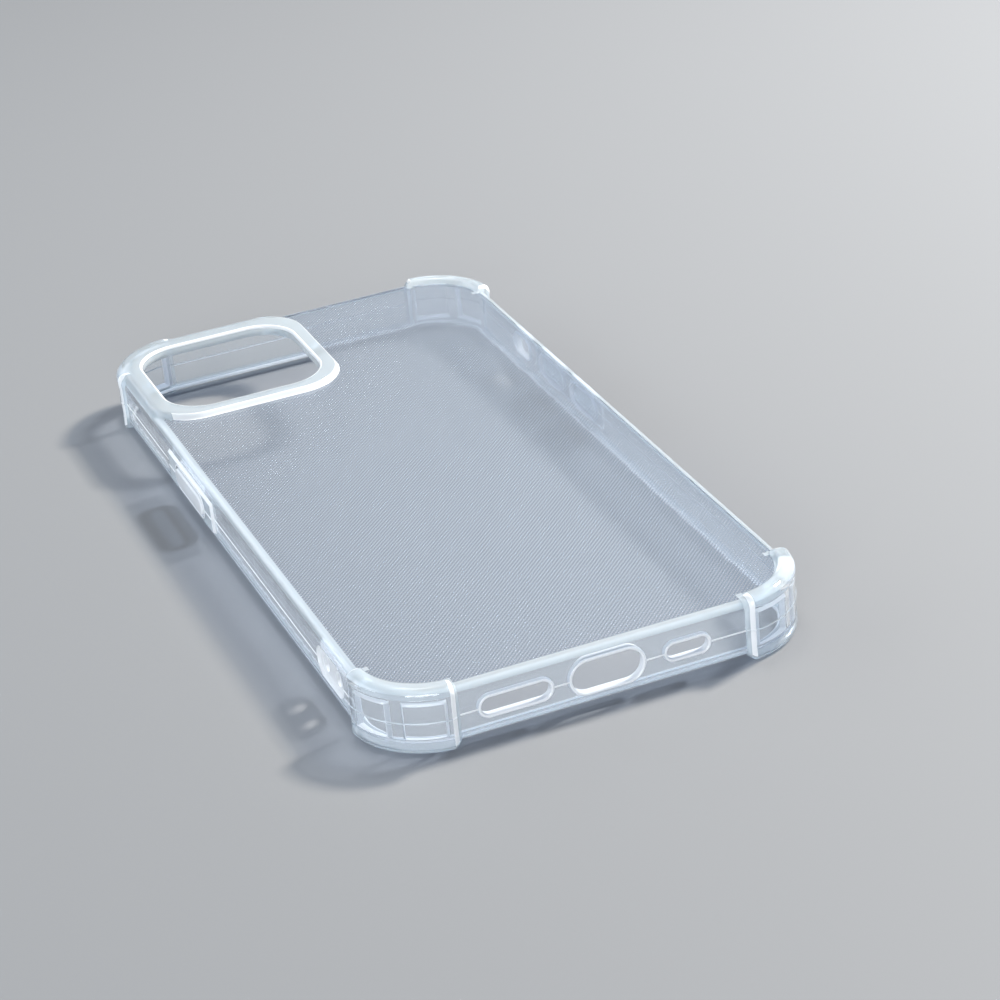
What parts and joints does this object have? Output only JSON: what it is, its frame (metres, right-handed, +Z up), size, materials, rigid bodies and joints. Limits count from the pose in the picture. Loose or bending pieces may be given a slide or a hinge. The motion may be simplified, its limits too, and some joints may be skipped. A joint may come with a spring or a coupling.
{
  "type": "phone case",
  "caption": "Clear flexible phone case with raised corner air guards, raised camera guard, port and speaker openings, strap holes and push pads over the side keys.",
  "frame": {"origin": "centre of the footprint, on the surface that the four corner feet rest on, case lying open side down", "axes": "+Z up, out of the outer back face; +Y along the length, towards the camera end; +X across the width, towards the volume pads"},
  "size_m": [0.0764, 0.1516, 0.0115],
  "materials": {
    "clear_tpu": "clear flexible moulded plastic, polished, faint blue-white tint",
    "dotted_tpu": "clear flexible plastic with a fine grid of moulded anti-cling dots on the inner face",
    "button_tpu": "clear flexible moulded plastic, polished"
  },
  "bodies": {
    "case": {"back_panel": "dotted_tpu", "bottom_wall": "clear_tpu", "camera_guard": "clear_tpu", "corner_guard_bottom_left": "clear_tpu", "corner_guard_bottom_right": "clear_tpu", "corner_guard_top_left": "clear_tpu", "corner_guard_top_right": "clear_tpu", "left_wall": "clear_tpu", "right_wall": "clear_tpu", "top_wall": "clear_tpu"},
    "power_key": {"power_button": "button_tpu"},
    "volume_up_key": {"volume_up_button": "button_tpu"},
    "volume_down_key": {"volume_down_button": "button_tpu"}
  },
  "joints": [
    {"name": "power_press", "type": "slide", "parent": "case", "child": "power_key", "axis": [1, 0, 0], "range_m": [0, 0.0004], "stiffness_N_per_m": 5000},
    {"name": "volume_up_press", "type": "slide", "parent": "case", "child": "volume_up_key", "axis": [-1, 0, 0], "range_m": [0, 0.0004], "stiffness_N_per_m": 5000},
    {"name": "volume_down_press", "type": "slide", "parent": "case", "child": "volume_down_key", "axis": [-1, 0, 0], "range_m": [0, 0.0004], "stiffness_N_per_m": 5000}
  ]
}
